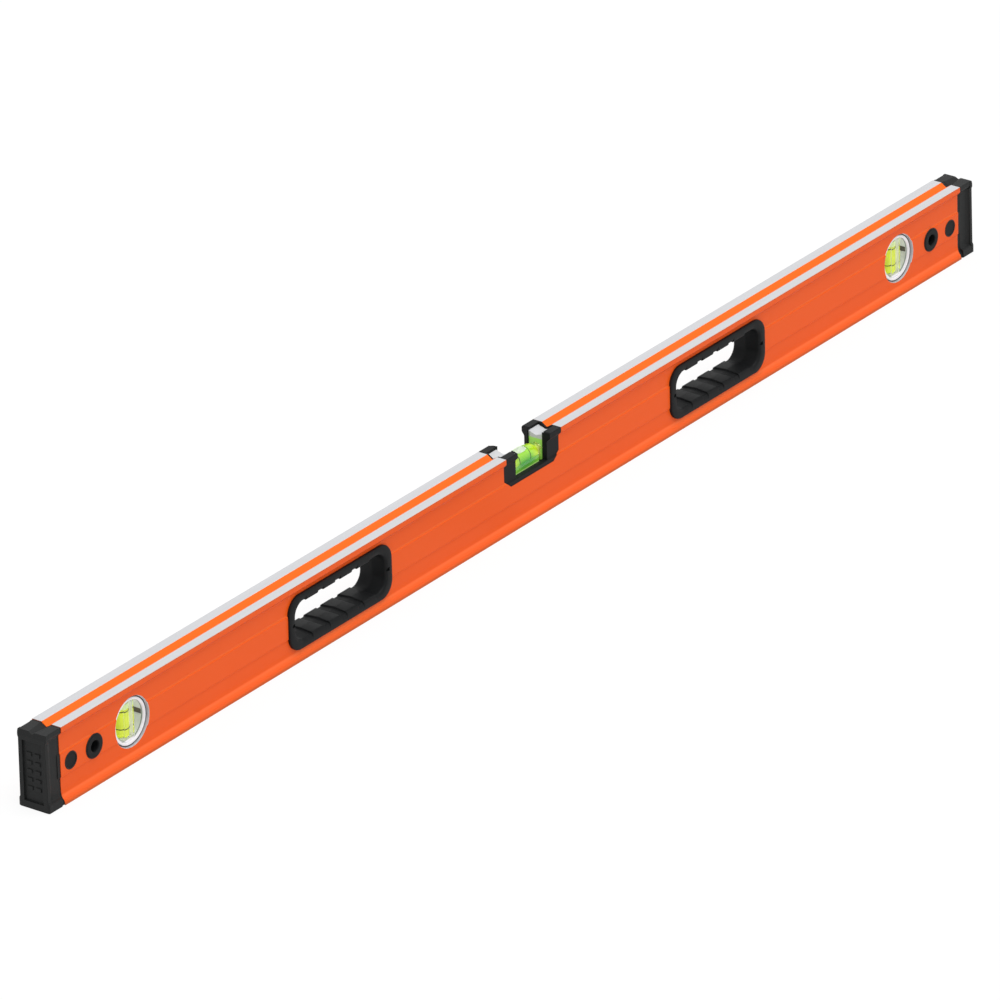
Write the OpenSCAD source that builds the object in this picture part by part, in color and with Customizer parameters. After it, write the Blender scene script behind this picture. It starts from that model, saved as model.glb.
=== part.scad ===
// Box beam level, 1.2 m: a hollow aluminium beam with a V-grooved top edge, two
// through hand grips, two round plumb vials, a top-read centre vial, hang holes
// and rubber end caps. Millimetres, +Z up, the length along X, the read side at -Y.
// The origin is the middle of the milled base.

/* [Beam] */
// Length over the end caps
level_l = 1219; // [1180:1:1400]
// Height from the milled base to the top rails
level_h = 64; // [62:0.5:70]
// Width across the two top rails
rail_w = 27.4; // [26:0.1:28]
// Width across the foot
foot_w = 30; // [29:0.1:33]
// Width across the thin webs
web_w = 21.9; // [21.4:0.1:22.8]
// Rise of the middle band over the web, on each side
band_rise = 0.75; // [0.4:0.05:1]
// Height of the middle band
band_h = 20.2; // [19:0.1:22]
// Height of the middle line that the grips, plumb vials and holes share
axis_z = 31.6; // [31:0.1:32.5]
// Thickness of the extruded side walls
wall = 2; // [1.6:0.1:2.4]
// Thickness of the base wall
base_t = 3; // [2.2:0.1:3.4]
// Thickness of the wall under the rails and the groove
top_t = 2.4; // [1.8:0.1:2.6]

/* [Rails and foot] */
// Width of the V groove between the rails
groove_w = 9.8; // [8.6:0.1:10.4]
// Depth of the V groove
groove_d = 3; // [2.4:0.1:3.4]
// Width of the flat at the root of the groove
groove_root = 0.7; // [0.4:0.1:1.4]
// Height of the rail's outer side
flange_h = 4.6; // [4:0.1:5.2]
// Height of the undercut below the rail
under_h = 3.2; // [2.6:0.1:3.6]
// Height of the foot's outer side
foot_h = 4.1; // [3.6:0.1:4.6]
// How far the foot's side leans in over its height
foot_lean = 1.4; // [0.9:0.1:1.7]
// Height over which the foot flares into the web
flare_h = 6.6; // [5.5:0.1:7.4]
// Small break on the milled edges
edge = 0.35; // [0.2:0.05:0.5]

/* [End caps] */
// Length of each cap beyond the beam
cap_l = 18.5; // [17:0.1:20]
// Step from the beam's outline down to the cap's
cap_step = 0.45; // [0.3:0.05:0.7]
// Length of the full collar next to the beam
collar_l = 3.2; // [2.4:0.1:3.8]
// Half width of the collar's foot
collar_y = 13.8; // [13.5:0.1:14.4]
// Half width of the bumper's foot
bumper_y = 14.6; // [14.4:0.1:14.9]
// Height of the bumper's foot
bumper_foot_h = 6.6; // [5.6:0.1:7.4]
// Length of the hollow ramp from the bumper's side up to the end plate
ramp_l = 4.5; // [3.5:0.1:5.5]
// Thickness of the end plate
lip_t = 3.3; // [2.6:0.1:3.8]
// Half width of the end plate below its head
plate_top_y = 12.6; // [12.2:0.1:13]
// Half width of the end plate above its foot
plate_low_y = 13.3; // [13:0.1:13.8]
// Half width across which the end face's edges are broken
plate_flat_y = 12.6; // [12.2:0.1:13]
// Height of the sloping head of the end face
head_h = 5; // [4:0.1:6]
// How far the end face's head slopes back
head_lean = 1; // [0.6:0.1:1.4]
// Width of the sunk panel in the end face
panel_w = 18.4; // [16:0.1:19]
// Height of the base of the panel
panel_z = 5.6; // [4.6:0.1:6.5]
// Distance of the panel below the top
panel_drop = 8.4; // [7.4:0.1:9.5]
// Depth of the sunk panel
panel_d = 1.6; // [1:0.1:2.2]
// Height of the short grip ribs on the panel
rib_h = 0.7; // [0.5:0.1:0.9]
// Length of the plug inside the beam
plug_l = 26; // [24:0.5:27]
// Distance of the locking pin from the end of the level
pin_in = 30.6; // [29.5:0.1:32]
// Diameter of the locking pin
pin_d = 14; // [12:0.1:15]

/* [Hang holes] */
// Distance of the hang hole from the end of the level
hang_in = 58.3; // [57.5:0.1:62]
// Bore of the hang hole
hang_bore = 9.3; // [8:0.1:10.5]
// Wall of the grommet's sleeve
hang_wall = 1.9; // [1.5:0.1:2.4]
// Diameter of the grommet's lip
hang_lip = 19.2; // [18.4:0.1:20]
// Height of the lip over the band
hang_lip_h = 1; // [0.7:0.1:1.2]

/* [Hand grips] */
// Distance of each grip from the middle of the level
grip_x = 249; // [200:1:300]
// Length over the rim of a grip
rim_l = 129.5; // [124:0.1:134]
// Height over the rim of a grip
rim_h = 45.9; // [45.4:0.1:46.8]
// Corner radius of the rim
rim_r = 14; // [13:0.1:15]
// Width over both rims, across the level
rim_w = 26.5; // [25.4:0.1:27]
// Length of the hand opening at its middle
grip_l = 113.5; // [110:0.1:116]
// Height of the hand opening at its middle
grip_h = 35; // [33:0.1:35.6]
// Corner radius of the hand opening
grip_r = 9.5; // [8.5:0.1:10]
// Outward flare of the opening from the middle to the rim
grip_flare = 0.7; // [0.4:0.1:0.9]
// Rounding where the opening meets the rim
grip_round = 2.6; // [2:0.1:2.8]
// Wall of the sleeve that lines the opening
sleeve_t = 2.9; // [2.6:0.1:3.1]
// Height of the finger pads
pad_h = 1.1; // [0.7:0.1:1.4]
// Distance from one finger pad to the next
pad_pitch = 22; // [20:0.5:23]
// Length of a pad's flat
pad_flat = 9.5; // [8:0.1:11]
// Length of a pad's steep side
pad_step = 1; // [0.6:0.1:1.6]
// Length of a pad's gentle slope
pad_slope = 4.2; // [3:0.1:5]
// Place of the first pad from the middle of the grip
pad_first = -37; // [-38:0.5:-35]
// Length of the latch windows at the ends of the rim
latch_l = 3.2; // [2.6:0.1:3.6]
// Height of the latch windows
latch_h = 3.7; // [3:0.1:4.4]
// Depth of the latch windows
latch_d = 1.4; // [1:0.1:1.6]

/* [Plumb vials] */
// Distance of each plumb vial from the end of the level
plumb_in = 104.4; // [100:0.1:112]
// Rise of the plumb vials over the middle line
plumb_rise = 0.5; // [0:0.1:0.8]
// Diameter of the round opening in the webs
plumb_hole = 41; // [40.4:0.1:42]
// Diameter of the housing inside the beam
plumb_body = 45; // [44:0.1:45.5]
// Diameter of the ring that shows in the opening
plumb_ring = 39.6; // [39:0.1:40]
// How far the ring reaches into the wall's opening
plumb_ring_out = 0.5; // [0.2:0.1:0.8]
// Diameter of the view through the ring
plumb_view = 33.6; // [32.5:0.1:34.4]
// Length of the ring's inner lip
plumb_lip_l = 2.6; // [2:0.1:3.2]
// Diameter of the housing's hollow behind the lip
plumb_inner = 35.6; // [34.8:0.1:36.4]
// Width of the clear block that stands in the housing
plumb_block_w = 11.8; // [10.5:0.1:12.5]
// Height of the clear block, with its ends in the housing's sockets
plumb_block_h = 38; // [37:0.1:39]
// How far the block's face lies behind the ring's
plumb_block_in = 1.1; // [0.8:0.1:1.6]
// Diameter of the block's upright bore
plumb_bore_d = 9.4; // [8.4:0.1:9.6]
// Length of the liquid in the bore
plumb_fill = 27.5; // [25:0.1:29]
// Length of the upright vial's air bubble
plumb_air = 6; // [5:0.1:6.3]
// Distance between the upright vial's read lines
read_gap = 14.4; // [13:0.1:15]
// Length of the slots in the sides of the housing
slot_l = 11.4; // [9:0.1:13]
// Height of the slots in the sides of the housing
slot_h = 4.4; // [3.6:0.1:5.2]
// Width of a read line
line_w = 0.6; // [0.4:0.05:0.8]
// Depth of a read line into the vial's wall
line_t = 0.3; // [0.2:0.05:0.4]

/* [Centre window] */
// Half length of the centre frame
frame_x = 35.9; // [35:0.1:38]
// Height of the centre frame
frame_h = 26.6; // [26:0.1:27.2]
// Length of the frame's lower chamfers
frame_cham_l = 7.9; // [6:0.1:9]
// Height of the frame's lower chamfers
frame_cham_h = 6.6; // [5:0.1:7.5]
// Half length of the window at the outer faces
window_x = 22.8; // [22.4:0.1:24]
// Half length of the window where it meets the block
window_in_x = 21.3; // [20.8:0.1:21.8]
// Thickness of the bar below the window
sill_t = 3.6; // [3.2:0.1:4]
// Corner chamfer at the top of the window
window_cham = 1; // [0.5:0.1:1.4]
// Thickness of the frame's end walls
end_wall = 1.5; // [1.2:0.1:2]

/* [Centre vial] */
// Width of the clear block and of the vial
vial_w = 14; // [13:0.1:14.4]
// Radius of the crown that the vial follows
crown_r = 57; // [52:1:70]
// How far the top of the vial lies below the rails
vial_drop = 7.3; // [6.6:0.1:8]
// Half length of the vial
vial_x = 18.4; // [17.8:0.1:19]
// Radius of the vial's bore
vial_bore = 5; // [4.4:0.1:5.4]
// Length of each end plug of the vial
vial_plug = 3; // [2.4:0.1:3.6]
// Length of the bubble
bubble_l = 13.2; // [11:0.1:13.4]
// Height of the bubble
bubble_h = 2.6; // [2:0.1:3.2]
// Distance between the read rings
ring_gap = 13.8; // [13.6:0.1:15]
// Depth of the wide V in the tops of the clear mounts
mount_dip = 2.2; // [1.5:0.1:2.6]
// How far the clear mounts lie below the rails
mount_drop = 2.2; // [1.8:0.1:3]
// Height of the necks that join the vial to its mounts
neck_h = 8; // [6:0.1:9]

/* [Clearances] */
// Gap round a cap's plug inside the beam
plug_gap = 0.15; // [0.05:0.05:0.3]
// Gap round a sleeve, pin or frame in its cut-out
fit_gap = 0.15; // [0.05:0.05:0.25]
// Gap round a clear piece in its seat
lens_gap = 0.05; // [0.02:0.01:0.15]

/* [Hidden] */

orange = "#ea6232";
milled = "#dcdcdf";
black = "#2c2d2e";
rubber = "#383a3b";
white = "#ededf2";
clear = "#dfe8e4";
lime = "#cfe23a";
leaf = "#7cc043";
air = "#eef4dc";

$fn = 72;
big = 200;

beam_l = level_l - 2 * cap_l;
cavity_y = web_w / 2 - wall;
band_y = web_w / 2 + band_rise;
rail_in_z = level_h - flange_h - under_h;
pin_x = level_l / 2 - pin_in;
hang_x = level_l / 2 - hang_in;
plumb_x = level_l / 2 - plumb_in;
plumb_z = axis_z + plumb_rise;
sleeve_d = hang_bore + 2 * hang_wall;
lip_y = band_y + hang_lip_h;
frame_z = level_h - frame_h;
sill_z = frame_z + sill_t;
tube_r = crown_r - vial_w / 2;
crown_z = level_h - vial_drop - crown_r;
housing_y = cavity_y - lens_gap;
ring_y = cavity_y + plumb_ring_out;
plumb_block_y = ring_y - plumb_block_in;

// Points of a quadratic curve from a to c that leans towards b
function curve(a, b, c, n = 5) =
    [for (i = [0:n]) let (t = i / n) (1 - t) * (1 - t) * a + 2 * t * (1 - t) * b + t * t * c];

// A closed outline from the half on its +Y side, listed from the base upwards
function both_sides(half) =
    concat(half, [for (i = [len(half) - 1:-1:0]) [-half[i][0], half[i][1]]]);

// The right half of the beam's outline, drawn in by inset
function beam_half(inset = 0) = concat(
    [[foot_w / 2 - edge - inset, inset], [foot_w / 2 - inset, edge + inset]],
    curve([foot_w / 2 - foot_lean - inset, foot_h], [web_w / 2 + 0.4 - inset, foot_h + 0.2 * flare_h],
          [web_w / 2 - inset, foot_h + flare_h]),
    [[web_w / 2 - inset, axis_z - band_h / 2], [band_y - inset, axis_z - band_h / 2 + band_rise],
     [band_y - inset, axis_z + band_h / 2 - band_rise], [web_w / 2 - inset, axis_z + band_h / 2]],
    curve([web_w / 2 - inset, rail_in_z - 0.2], [web_w / 2 - inset, rail_in_z + 0.7],
          [web_w / 2 + 0.35 * (rail_w - web_w) / 2 - inset, rail_in_z + 0.45 * under_h], 3),
    curve([rail_w / 2 - 0.25 * (rail_w - web_w) / 2 - inset, rail_in_z + 0.8 * under_h],
          [rail_w / 2 - inset, rail_in_z + 0.98 * under_h],
          [rail_w / 2 - inset, rail_in_z + 1.2 * under_h], 3),
    [[rail_w / 2 - inset, level_h - edge - inset], [rail_w / 2 - edge - inset, level_h - inset],
     [groove_w / 2 + 0.3 * inset, level_h - inset],
     [groove_root / 2, level_h - groove_d - inset]]);

// The right half of the hollow inside the beam, drawn in by gap
function cavity_half(gap = 0) = [
    [cavity_y - 1.4 - gap, base_t + gap], [cavity_y - gap, base_t + 1.4 + gap],
    [cavity_y - gap, rail_in_z + 0.4 - gap],
    [rail_w / 2 - wall - gap, rail_in_z + 0.55 * under_h - gap + wall],
    [rail_w / 2 - wall - gap, level_h - top_t - gap],
    [groove_w / 2 + 0.8 - 0.4 * gap, level_h - top_t - gap],
    [groove_root / 2 + 0.6, level_h - groove_d - top_t - gap]];

// Extrudes a YZ outline along X
module along_x(l) rotate([90, 0, 90]) linear_extrude(l, center = true) children();

// Turns a shape drawn in XY with its depth along Z so that its depth faces the read side
module to_front() rotate([90, 0, 0]) children();
module to_rear() mirror([0, 1, 0]) to_front() children();

// A round bar along Y
module across(d, l) rotate([90, 0, 0]) cylinder(d = d, h = l, center = true);

// A rounded rectangle
module round_rect(l, h, r) {
    square([l - 2 * r, h], center = true);
    square([l, h - 2 * r], center = true);
    for (x = [-1, 1], y = [-1, 1]) translate([x * (l / 2 - r), y * (h / 2 - r)]) circle(r);
}

// A rounded rectangle whose side follows a profile of [outset, depth] points
module pillow(l, h, r, side) {
    n = len(side) - 1;
    x = l / 2 - r;
    y = h / 2 - r;
    half_h = concat([for (p = side) [h / 2 + p[0], p[1]]], [for (i = [n:-1:0]) [-h / 2 - side[i][0], side[i][1]]]);
    half_l = concat([for (p = side) [l / 2 + p[0], p[1]]], [for (i = [n:-1:0]) [-l / 2 - side[i][0], side[i][1]]]);
    rotate([90, 0, 90]) linear_extrude(2 * x, center = true) polygon(half_h);
    rotate([90, 0, 0]) linear_extrude(2 * y, center = true) polygon(half_l);
    for (i = [-1, 1], j = [-1, 1]) translate([i * x, j * y, 0]) rotate_extrude()
        polygon(concat([[0, side[0][1]]], [for (p = side) [r + p[0], p[1]]], [[0, side[n][1]]]));
}

// Beam
module frame_outline(gap = 0) {
    polygon([
        [-frame_x - gap, level_h + 5], [-frame_x - gap, frame_z + frame_cham_h - 0.4 * gap],
        [-frame_x + frame_cham_l - 0.4 * gap, frame_z - gap],
        [frame_x - frame_cham_l + 0.4 * gap, frame_z - gap],
        [frame_x + gap, frame_z + frame_cham_h - 0.4 * gap], [frame_x + gap, level_h + 5]]);
}

module beam_cuts() {
    for (s = [-1, 1]) {
        // hand grip: sleeve cut-out and the seats of both rims
        translate([s * grip_x, 0, axis_z]) {
            to_front() linear_extrude(big, center = true)
                round_rect(grip_l + 2 * (sleeve_t + fit_gap), grip_h + 2 * (sleeve_t + fit_gap),
                           grip_r + sleeve_t + fit_gap);
            for (t = [-1, 1]) translate([0, t * (web_w / 2 + 10), 0])
                to_front() linear_extrude(20, center = true)
                    round_rect(rim_l + 2 * fit_gap, rim_h + 2 * fit_gap, rim_r + fit_gap);
        }
        translate([s * plumb_x, 0, plumb_z]) across(plumb_hole, big);
        translate([s * hang_x, 0, axis_z]) across(sleeve_d + 2 * fit_gap, big);
        translate([s * pin_x, 0, axis_z]) across(pin_d + 2 * fit_gap, big);
    }
    to_front() linear_extrude(big, center = true) frame_outline(fit_gap);
}

module beam() {
    color(orange) difference() {
        along_x(beam_l) polygon(both_sides(beam_half()));
        along_x(beam_l + 2) polygon(both_sides(cavity_half()));
        beam_cuts();
    }
}

// End caps, drawn at the +X end with the junction at x = 0
function bumper_half() = let (y = web_w / 2 - cap_step / 2, r = rail_w / 2 - cap_step) concat(
    [[bumper_y - 0.4, 0], [bumper_y, 0.4], [bumper_y - 0.2, bumper_foot_h - 0.6], [bumper_y - 0.7, bumper_foot_h]],
    curve([bumper_y - 1.4, bumper_foot_h + 0.3], [y + 0.3, bumper_foot_h + 0.7], [y, bumper_foot_h + 0.6 * flare_h], 4),
    curve([y, rail_in_z - 0.6], [y, rail_in_z + 0.6], [r - 0.4, rail_in_z + 0.9 * under_h], 4),
    [[r, rail_in_z + 1.25 * under_h], [r, level_h - cap_step - 0.8], [r - 0.8, level_h - cap_step]]);

function plate_half() = let (r = rail_w / 2) [
    [bumper_y - 0.4, 0], [bumper_y, 0.4], [bumper_y - 0.1, bumper_foot_h],
    [plate_low_y, bumper_foot_h + 1.6], [plate_top_y, rail_in_z + 0.2],
    [r - 0.2, rail_in_z + 0.6 * under_h], [r - 0.2, level_h - cap_step - 0.5],
    [r - 0.7, level_h - cap_step]];

module cap_shell() {
    x0 = cap_l - lip_t;
    y0 = web_w / 2 - cap_step / 2;
    // collar that carries on the beam's outline, with a relieved foot
    intersection() {
        translate([collar_l / 2, 0, 0]) along_x(collar_l) polygon(both_sides(beam_half(cap_step)));
        translate([-1, -collar_y, -1]) cube([collar_l + 2, 2 * collar_y, level_h + 2]);
    }
    // bumper and end plate
    translate([(collar_l + x0) / 2, 0, 0]) along_x(x0 - collar_l + 0.02) polygon(both_sides(bumper_half()));
    translate([cap_l - lip_t / 2, 0, 0]) along_x(lip_t) polygon(both_sides(plate_half()));
    // hollow ramps from the sides up to the end plate
    for (s = [0, 1]) mirror([0, s, 0]) translate([0, 0, bumper_foot_h])
        linear_extrude(rail_in_z + 1 - bumper_foot_h) polygon(concat(
            curve([x0 - ramp_l, y0 - 0.05], [x0 - 0.3 * ramp_l, y0 + 0.2], [x0 + 0.02, plate_top_y - 0.1], 6),
            [[x0 + 0.02, y0 - 2], [x0 - ramp_l, y0 - 2]]));
}

module panel_ribs() {
    h = level_h - panel_z - panel_drop;
    for (col = [0, 1], i = [0:4])
        translate([cap_l - panel_d + rib_h / 2, (col - 0.5) * panel_w * 0.42,
                   panel_z + h * (0.22 + 0.14 * i)])
            cube([rib_h, panel_w * 0.26, h * 0.06], center = true);
}

module end_cap() {
    difference() {
        union() {
            difference() {
                cap_shell();
                // broken edges down the sides of the end face
                for (s = [0, 1]) mirror([0, s, 0]) translate([0, 0, -1]) linear_extrude(level_h + 2)
                    polygon([[cap_l, plate_flat_y], [cap_l - 2.1, plate_flat_y + 6], [cap_l + 3, plate_flat_y + 6],
                             [cap_l + 3, plate_flat_y]]);
                // sloping head over the end face
                rotate([90, 0, 0]) linear_extrude(40, center = true) polygon([
                    [cap_l, level_h - head_h], [cap_l - head_lean, level_h - 0.6],
                    [cap_l - head_lean - 1, level_h + 0.4], [cap_l + 3, level_h + 0.4], [cap_l + 3, level_h - head_h]]);
                // sunk panel
                translate([cap_l - panel_d, -panel_w / 2, panel_z])
                    cube([panel_d + 1, panel_w, level_h - panel_z - panel_drop]);
                // V groove, shallower towards the end
                translate([0, 0, level_h - groove_d - cap_step]) rotate([0, -4.5, 0]) rotate([90, 0, 90])
                    linear_extrude(60, center = true) polygon([[-groove_root / 2, 0], [groove_root / 2, 0],
                        [groove_w / 2 + 6, groove_d * (groove_w + 12) / groove_w],
                        [-groove_w / 2 - 6, groove_d * (groove_w + 12) / groove_w]]);
            }
            panel_ribs();
            // plug inside the beam
            translate([-plug_l / 2 + 0.5, 0, 0]) along_x(plug_l + 1) polygon(both_sides(cavity_half(plug_gap)));
        }
        translate([pin_x - beam_l / 2, 0, axis_z]) across(pin_d, big);
    }
}

module cap_pin() {
    rotate([90, 0, 0]) rotate_extrude() polygon([
        [0, -band_y + 0.1], [pin_d / 2 - 0.5, -band_y + 0.1], [pin_d / 2 - 0.05, -band_y + 0.5],
        [pin_d / 2 - 0.05, band_y - 0.5], [pin_d / 2 - 0.5, band_y - 0.1], [0, band_y - 0.1]]);
}

module left_end_cap() { color(rubber) mirror([1, 0, 0]) translate([beam_l / 2, 0, 0]) end_cap(); }
module right_end_cap() { color(rubber) translate([beam_l / 2, 0, 0]) end_cap(); }
module left_cap_pin() { color(black) translate([-pin_x, 0, axis_z]) cap_pin(); }
module right_cap_pin() { color(black) translate([pin_x, 0, axis_z]) cap_pin(); }

// Hang holes: a sleeve with the front lip, and a ring pressed on its rear end
module lip_profile(inner) {
    w = hang_lip / 2;
    polygon([[inner, 0], [w, 0], [w, hang_lip_h * 0.35], [w - 0.4, hang_lip_h * 0.8],
             [w - 1, hang_lip_h], [hang_bore / 2 + 0.7, hang_lip_h],
             [hang_bore / 2 + 0.2, hang_lip_h * 0.8], [hang_bore / 2, hang_lip_h * 0.3],
             [hang_bore / 2, 0]]);
}

module grommet() {
    to_front() {
        rotate_extrude() union() {
            translate([hang_bore / 2, -band_y - hang_lip_h * 0.4]) square([hang_wall, 2 * band_y + hang_lip_h * 0.4]);
            translate([0, band_y]) lip_profile(hang_bore / 2);
        }
    }
}

module grommet_ring() {
    w = hang_lip / 2;
    r = sleeve_d / 2;
    to_rear() rotate_extrude() polygon([
        [r, band_y], [w, band_y], [w, band_y + hang_lip_h * 0.35], [w - 0.4, band_y + hang_lip_h * 0.8],
        [w - 1, lip_y], [r + 0.3, lip_y], [r, band_y + hang_lip_h * 0.8]]);
}

module left_grommet() { color(black) translate([-hang_x, 0, axis_z]) grommet(); }
module right_grommet() { color(black) translate([hang_x, 0, axis_z]) grommet(); }
module left_grommet_ring() { color(black) translate([-hang_x, 0, axis_z]) grommet_ring(); }
module right_grommet_ring() { color(black) translate([hang_x, 0, axis_z]) grommet_ring(); }

// Hand grips: two halves that meet on the middle plane
function grip_side(up = 0) = concat(
    [[-up, -1], [-up, 0]],
    [for (i = [0:5]) let (a = i * 18, r = grip_round)
        [grip_flare + r - r * cos(a) - up, rim_w / 2 - r + r * sin(a)]],
    [[grip_flare + grip_round - up, rim_w / 2 + 1]]);

module pad_solid() {
    step = pad_step;
    low = -grip_h / 2 - grip_flare - grip_round - 1;
    high = -grip_h / 2 + pad_h + 0.5;
    for (turn = [0, 1], i = [0:3]) rotate([0, 0, 180 * turn])
        translate([pad_first + i * pad_pitch, 0, 0])
            linear_extrude(rim_w + 4, center = true) polygon([
                [0, low], [0, -grip_h / 2], [step, high], [step + pad_flat, high],
                [step + pad_flat + pad_slope, -grip_h / 2], [step + pad_flat + pad_slope, low]]);
}

module grip_half() {
    seat = web_w / 2 + 0.02;
    difference() {
        union() {
            pillow(rim_l, rim_h, rim_r, [[0, seat], [0, rim_w / 2 - 1], [-0.3, rim_w / 2 - 0.3], [-1, rim_w / 2]]);
            linear_extrude(rim_w / 2 - 1)
                round_rect(grip_l + 2 * sleeve_t, grip_h + 2 * sleeve_t, grip_r + sleeve_t);
        }
        difference() {
            pillow(grip_l, grip_h, grip_r, grip_side());
            pad_solid();
        }
        pillow(grip_l, grip_h, grip_r, grip_side(pad_h));
        for (s = [-1, 1]) translate([s * (grip_l / 2 + grip_flare + grip_round), 0, rim_w / 2])
            cube([latch_l, latch_h, 2 * latch_d], center = true);
    }
}

module left_grip_front() { color(black) translate([-grip_x, 0, axis_z]) to_front() grip_half(); }
module right_grip_front() { color(black) translate([grip_x, 0, axis_z]) to_front() grip_half(); }
module left_grip_rear() { color(black) translate([-grip_x, 0, axis_z]) to_rear() grip_half(); }
module right_grip_rear() { color(black) translate([grip_x, 0, axis_z]) to_rear() grip_half(); }

// Plumb vials: a round housing in two halves holds a clear block with an upright vial
module plumb_housing() {
    difference() {
        union() {
            cylinder(d = plumb_body, h = housing_y);
            cylinder(d = plumb_ring - 0.8, h = ring_y);
            cylinder(d = plumb_ring, h = ring_y - 0.3);
        }
        translate([0, 0, -1]) cylinder(d = plumb_view, h = big);
        translate([0, 0, -1]) cylinder(d = plumb_inner, h = 1 + ring_y - plumb_lip_l);
        // softened inner edge of the ring
        translate([0, 0, ring_y - 0.5]) cylinder(d1 = plumb_view, d2 = plumb_view + 2.4, h = 1.2);
        // sockets of the clear block
        translate([-plumb_block_w / 2 - lens_gap, -plumb_block_h / 2 - lens_gap, -1])
            cube([plumb_block_w + 2 * lens_gap, plumb_block_h + 2 * lens_gap, 1 + plumb_block_y + lens_gap]);
        // slots in the sides
        translate([-big / 2, -slot_h / 2, -1]) cube([big, slot_h, 1 + slot_l / 2]);
    }
}

module plumb_bore(d = plumb_bore_d) {
    translate([0, 0, -plumb_fill / 2]) cylinder(d = d, h = plumb_fill);
}

module plumb_block() {
    difference() {
        cube([plumb_block_w, 2 * plumb_block_y, plumb_block_h], center = true);
        plumb_bore();
        translate([0, 0, -plumb_block_h / 2 - 1]) cylinder(d = plumb_bore_d, h = plumb_block_h / 2);
        plumb_lines(0);
    }
}

module plumb_lines(gap = 0.01) {
    for (z = [-1, 1]) translate([0, 0, z * read_gap / 2 - line_w / 2])
        difference() {
            cylinder(d = plumb_bore_d + 2 * line_t - gap, h = line_w);
            translate([0, 0, -1]) cylinder(d = plumb_bore_d, h = line_w + 2);
        }
}

module plumb_air() {
    translate([0, 0, plumb_fill / 2 - plumb_air])
        cylinder(d1 = plumb_bore_d - 1.6, d2 = plumb_bore_d, h = plumb_air);
}

module plumb_plug() {
    translate([0, 0, -plumb_block_h / 2])
        cylinder(d = plumb_bore_d, h = (plumb_block_h - plumb_fill) / 2);
}

module at_plumb(s) translate([s * plumb_x, 0, plumb_z]) children();

module left_plumb_housing_front() { color(white) at_plumb(-1) to_front() plumb_housing(); }
module left_plumb_housing_rear() { color(white) at_plumb(-1) to_rear() plumb_housing(); }
module left_plumb_block() { color(clear) at_plumb(-1) plumb_block(); }
module left_plumb_liquid() { color(lime) at_plumb(-1) difference() { plumb_bore(); plumb_air(); } }
module left_plumb_bubble() { color(air) at_plumb(-1) plumb_air(); }
module left_plumb_lines() { color(black) at_plumb(-1) plumb_lines(); }
module left_plumb_plug() { color(white) at_plumb(-1) plumb_plug(); }
module right_plumb_housing_front() { color(white) at_plumb(1) to_front() plumb_housing(); }
module right_plumb_housing_rear() { color(white) at_plumb(1) to_rear() plumb_housing(); }
module right_plumb_block() { color(clear) at_plumb(1) plumb_block(); }
module right_plumb_liquid() { color(lime) at_plumb(1) difference() { plumb_bore(); plumb_air(); } }
module right_plumb_bubble() { color(air) at_plumb(1) plumb_air(); }
module right_plumb_lines() { color(black) at_plumb(1) plumb_lines(); }
module right_plumb_plug() { color(white) at_plumb(1) plumb_plug(); }

// Centre window: two frame halves that carry on the beam's outline round the vial
module window_plan() {
    y = vial_w / 2;
    polygon([[-window_in_x, 0], [-window_in_x, y], [-window_x - 0.4, band_y + 4],
             [window_x + 0.4, band_y + 4], [window_in_x, y], [window_in_x, 0]]);
}

module centre_frame() {
    difference() {
        intersection() {
            along_x(2 * frame_x + 1) polygon(both_sides(beam_half(0.05)));
            to_front() linear_extrude(big, center = true) frame_outline(0);
            translate([-50, 0, 0]) cube([100, 40, 80]);
        }
        // seat of the clear block
        translate([-frame_x + end_wall, -1, sill_z])
            cube([2 * (frame_x - end_wall), 1 + vial_w / 2, level_h]);
        translate([0, 0, sill_z]) linear_extrude(level_h) window_plan();
        // eased upper corners of the window
        for (s = [-1, 1]) translate([s * (window_x + 0.2), 0, level_h]) rotate([0, 45, 0])
            cube([window_cham * sqrt(2), 60, window_cham * sqrt(2)], center = true);
    }
}

module centre_frame_front() { color(black) mirror([0, 1, 0]) centre_frame(); }
module centre_frame_rear() { color(black) centre_frame(); }

// Clear mount at one end of the centre vial, drawn on the +X side
module centre_mount() {
    y = vial_w / 2 - lens_gap;
    x1 = frame_x - end_wall - lens_gap;
    top = level_h - mount_drop;
    translate([(window_in_x + x1) / 2, 0, 0]) along_x(x1 - window_in_x) polygon([
        [-y, sill_z], [y, sill_z], [y, top], [0.5, top - mount_dip], [-0.5, top - mount_dip], [-y, top]]);
    translate([vial_x, -y + 1, sill_z]) cube([window_in_x - vial_x + 0.5, 2 * y - 2, neck_h]);
}

module centre_mount_left() { color(clear) mirror([1, 0, 0]) centre_mount(); }
module centre_mount_right() { color(clear) centre_mount(); }

// A piece of the tube that follows the crown, between two distances along X
module crown_arc(x0, x1) {
    a0 = asin(x0 / tube_r);
    a1 = asin(x1 / tube_r);
    translate([0, 0, crown_z]) rotate([90, 0, 0]) rotate([0, 0, 90 - a1]) rotate_extrude(angle = a1 - a0, $fn = 720)
        translate([tube_r, 0]) children();
}

module crown_tube(x, r = vial_bore) {
    intersection() {
        crown_arc(-x - 1, x + 1) circle(r, $fn = 120);
        translate([-x, -20, 0]) cube([2 * x, 40, 80]);
    }
}

module centre_vial() {
    color(clear) difference() {
        intersection() {
            translate([0, 0, crown_z]) rotate([90, 0, 0]) rotate_extrude($fn = 180) {
                translate([0, -vial_w / 2 + lens_gap]) square([tube_r, vial_w - 2 * lens_gap]);
                intersection() {
                    translate([tube_r, 0]) circle(vial_w / 2 - lens_gap);
                    translate([tube_r, -vial_w]) square([vial_w, 2 * vial_w]);
                }
            }
            translate([-vial_x, -20, sill_z]) cube([2 * vial_x, 40, 40]);
        }
        crown_tube(vial_x + 1);
    }
}

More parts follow.
